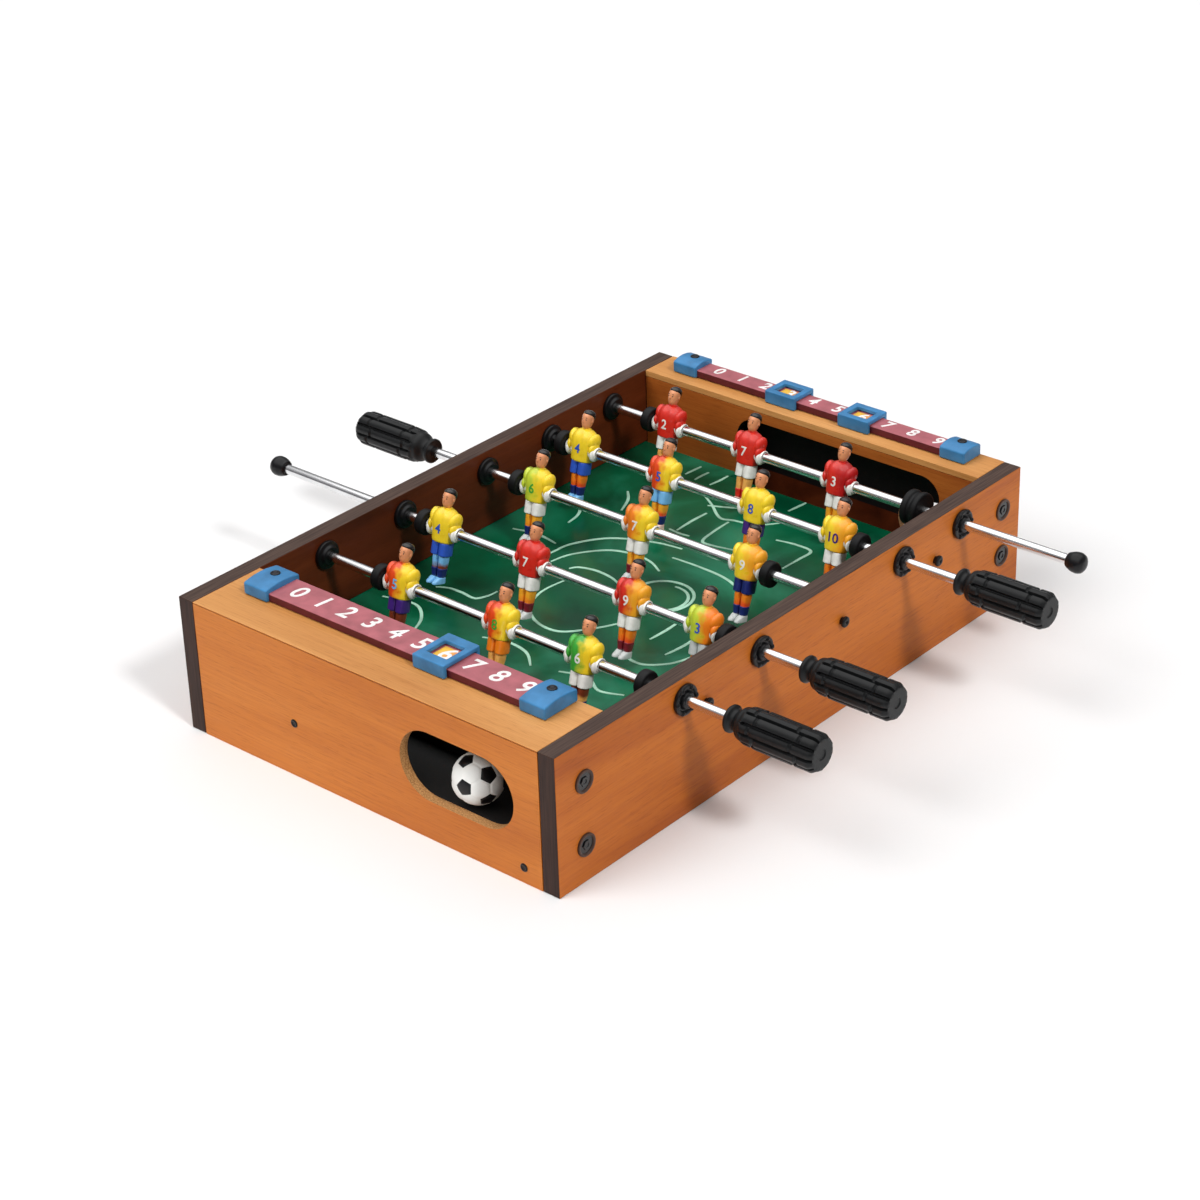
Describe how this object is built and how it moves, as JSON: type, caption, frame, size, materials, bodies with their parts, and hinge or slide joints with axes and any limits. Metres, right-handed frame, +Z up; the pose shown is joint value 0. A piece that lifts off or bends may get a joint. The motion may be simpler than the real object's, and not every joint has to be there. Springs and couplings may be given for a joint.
{
  "type": "foosball table",
  "caption": "Small tabletop foosball table: open wooden body, green pitch, sliding and turning rods of player figures with ribbed handles, end scorers, oval ball return.",
  "frame": {"origin": "centre of the wooden body's footprint, on the surface it stands on", "axes": "+X along the rods, +Y along the pitch from the end with the ball return to the far end, +Z up"},
  "size_m": [0.394, 0.345, 0.0793],
  "materials": {
    "side_wood": "veneered board, satin lacquer, dark cut edges",
    "end_wood": "veneered board, satin lacquer",
    "goal_wood": "veneered board, satin lacquer",
    "top_wood": "pale veneer, satin lacquer",
    "pitch": "printed green laminate, glossy",
    "tray_black": "black painted board, matt",
    "score_bar": "mauve plastic with white numerals",
    "score_blue": "blue moulded plastic",
    "ball_white": "white plastic with black spots",
    "bush_black": "black moulded plastic",
    "rod_chrome": "polished chrome plate",
    "handle_black": "black moulded plastic, satin",
    "shirt_red": "painted moulded plastic",
    "shirt_yellow": "painted moulded plastic",
    "shirt_amber": "painted moulded plastic",
    "shirt_orange": "painted moulded plastic",
    "stop_rubber": "black rubber",
    "screw_steel": "blackened steel"
  },
  "bodies": {
    "frame": {"side_board_left": "side_wood", "side_board_right": "side_wood", "top_board_front": "top_wood", "top_board_rear": "top_wood", "end_panel_front": "end_wood", "end_panel_rear": "end_wood", "goal_board_front": "goal_wood", "goal_board_rear": "goal_wood", "pitch_board": "pitch", "ball_tray_front": "tray_black", "ball_tray_rear": "tray_black", "score_bar_front": "score_bar", "score_block_front_left": "score_blue", "score_block_front_right": "score_blue", "score_bar_rear": "score_bar", "score_block_rear_left": "score_blue", "score_block_rear_right": "score_blue"},
    "bushes_a": {"bush_a_left": "bush_black", "bush_a_right": "bush_black"},
    "row_a": {"rod_a": "rod_chrome", "player_a1": "shirt_red", "player_a2": "shirt_red", "player_a3": "shirt_red"},
    "bushes_b": {"bush_b_left": "bush_black", "bush_b_right": "bush_black"},
    "row_b": {"rod_b": "rod_chrome", "handle_b": "handle_black", "player_b1": "shirt_yellow", "player_b2": "shirt_yellow", "player_b3": "shirt_yellow", "player_b4": "shirt_yellow"},
    "bushes_c": {"bush_c_left": "bush_black", "bush_c_right": "bush_black"},
    "row_c": {"rod_c": "rod_chrome", "handle_c": "handle_black", "player_c1": "shirt_amber", "player_c2": "shirt_amber", "player_c3": "shirt_amber"},
    "bushes_d": {"bush_d_left": "bush_black", "bush_d_right": "bush_black"},
    "row_d": {"rod_d": "rod_chrome", "handle_d": "handle_black", "player_d1": "shirt_red", "player_d2": "shirt_red", "player_d3": "shirt_red", "player_d4": "shirt_red"},
    "bushes_e": {"bush_e_left": "bush_black", "bush_e_right": "bush_black"},
    "row_e": {"rod_e": "rod_chrome", "handle_e": "handle_black", "player_e1": "shirt_orange", "player_e2": "shirt_orange", "player_e3": "shirt_orange"},
    "counter_front_1": {"score_slider_front_1": "score_blue"},
    "counter_rear_1": {"score_slider_rear_1": "score_blue"},
    "counter_rear_2": {"score_slider_rear_2": "score_blue"},
    "ball": {"ball": "ball_white"}
  },
  "joints": [
    {"name": "spin_a", "type": "hinge", "parent": "frame", "child": "bushes_a", "pos_m": [0, 0.1217, 0.0595], "axis": [1, 0, 0], "continuous": true},
    {"name": "slide_a", "type": "slide", "parent": "bushes_a", "child": "row_a", "axis": [1, 0, 0], "range_m": [-0.02, 0.002]},
    {"name": "spin_b", "type": "hinge", "parent": "frame", "child": "bushes_b", "pos_m": [0, 0.0735, 0.0595], "axis": [1, 0, 0], "continuous": true},
    {"name": "slide_b", "type": "slide", "parent": "bushes_b", "child": "row_b", "axis": [1, 0, 0], "range_m": [-0.003, 0.002]},
    {"name": "spin_c", "type": "hinge", "parent": "frame", "child": "bushes_c", "pos_m": [0, 0.0253, 0.0595], "axis": [1, 0, 0], "continuous": true},
    {"name": "slide_c", "type": "slide", "parent": "bushes_c", "child": "row_c", "axis": [1, 0, 0], "range_m": [-0.007, 0.0015]},
    {"name": "spin_d", "type": "hinge", "parent": "frame", "child": "bushes_d", "pos_m": [0, -0.0344, 0.0595], "axis": [1, 0, 0], "continuous": true},
    {"name": "slide_d", "type": "slide", "parent": "bushes_d", "child": "row_d", "axis": [1, 0, 0], "range_m": [-0.008, 0.003]},
    {"name": "spin_e", "type": "hinge", "parent": "frame", "child": "bushes_e", "pos_m": [0, -0.088, 0.0595], "axis": [1, 0, 0], "continuous": true},
    {"name": "slide_e", "type": "slide", "parent": "bushes_e", "child": "row_e", "axis": [1, 0, 0], "range_m": [-0.022, 0.002]},
    {"name": "slide_counter_front_1", "type": "slide", "parent": "frame", "child": "counter_front_1", "axis": [1, 0, 0], "range_m": [-0.0925, 0.042]},
    {"name": "slide_counter_rear_1", "type": "slide", "parent": "frame", "child": "counter_rear_1", "axis": [1, 0, 0], "range_m": [-0.0465, 0.013]},
    {"name": "slide_counter_rear_2", "type": "slide", "parent": "frame", "child": "counter_rear_2", "axis": [1, 0, 0], "range_m": [-0.013, 0.042]},
    {"name": "ball_out", "type": "slide", "parent": "frame", "child": "ball", "axis": [0, -1, 0], "range_m": [0, 0.03]}
  ]
}
